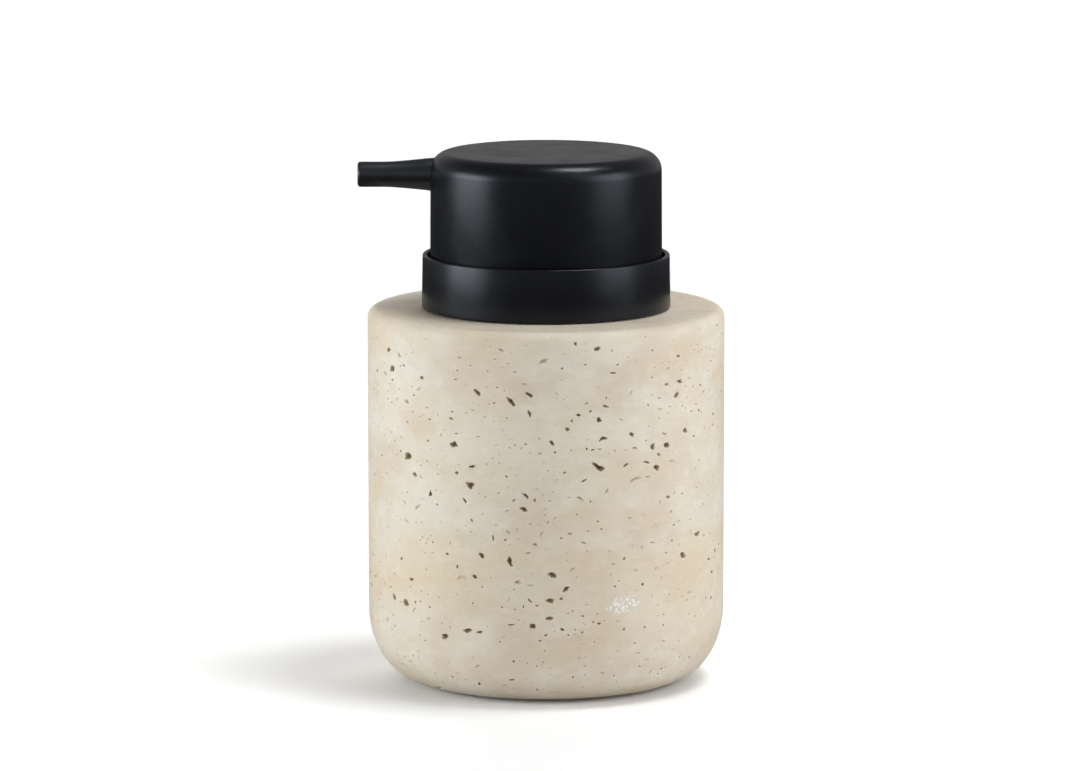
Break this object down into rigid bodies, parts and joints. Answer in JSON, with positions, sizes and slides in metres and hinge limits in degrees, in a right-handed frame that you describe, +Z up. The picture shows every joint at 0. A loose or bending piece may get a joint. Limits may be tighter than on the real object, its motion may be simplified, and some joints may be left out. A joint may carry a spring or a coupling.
{
  "type": "soap pump dispenser",
  "caption": "Round stone soap dispenser with a black collar, a wide domed-edge press cap and a straight side nozzle; the pump lifts out of the vessel's mouth for refilling.",
  "frame": {"origin": "centre of the base pad's underside, on the vessel's axis, where the dispenser stands", "axes": "+Z up along the vessel and pump axis; the nozzle points along -X at rest; the vessel, collar and cap are round about Z"},
  "size_m": [0.0813, 0.0792, 0.118],
  "materials": {
    "travertine": "matte",
    "black_plastic": "satin",
    "white_plastic": "satin",
    "clear_plastic": "satin",
    "silicone": "matte",
    "pad_foam": "matte",
    "steel": "satin"
  },
  "bodies": {
    "vessel": {"stone_body": "travertine", "soap_liner": "clear_plastic", "base_pad": "pad_foam"},
    "pump_module": {"collar_ring": "black_plastic", "collar_washer": "silicone", "mouth_plug": "white_plastic", "plug_seal_upper": "silicone", "plug_seal_lower": "silicone", "neck_gasket": "silicone", "closure_cap": "black_plastic", "pump_housing": "clear_plastic", "stem_guide": "white_plastic", "stem_wiper": "silicone", "ball_cage": "white_plastic", "dip_tube": "clear_plastic"},
    "check_ball": {"check_ball": "steel"},
    "spring": {"return_spring": "steel"},
    "head": {"head_cap": "black_plastic", "nozzle": "black_plastic", "actuator_core": "white_plastic", "stem": "white_plastic", "piston_seat": "white_plastic"},
    "piston": {"piston": "clear_plastic"}
  },
  "joints": [
    {"name": "pump_lift", "type": "slide", "parent": "vessel", "child": "pump_module", "axis": [0, 0, 1], "range_m": [0, 0.09]},
    {"name": "head_turn", "type": "hinge", "parent": "pump_module", "child": "spring", "pos_m": [0, 0, 0.1], "axis": [0, 0, 1], "continuous": true},
    {"name": "head_press", "type": "slide", "parent": "spring", "child": "head", "axis": [0, 0, -1], "range_m": [0, 0.009], "stiffness_N_per_m": 1000, "springref_m": -0.006, "deforming": ["return_spring"]},
    {"name": "piston_float", "type": "slide", "parent": "head", "child": "piston", "axis": [0, 0, 1], "range_m": [0, 0.0011]},
    {"name": "ball_lift", "type": "slide", "parent": "pump_module", "child": "check_ball", "axis": [0, 0, 1], "range_m": [0, 0.0015]}
  ]
}
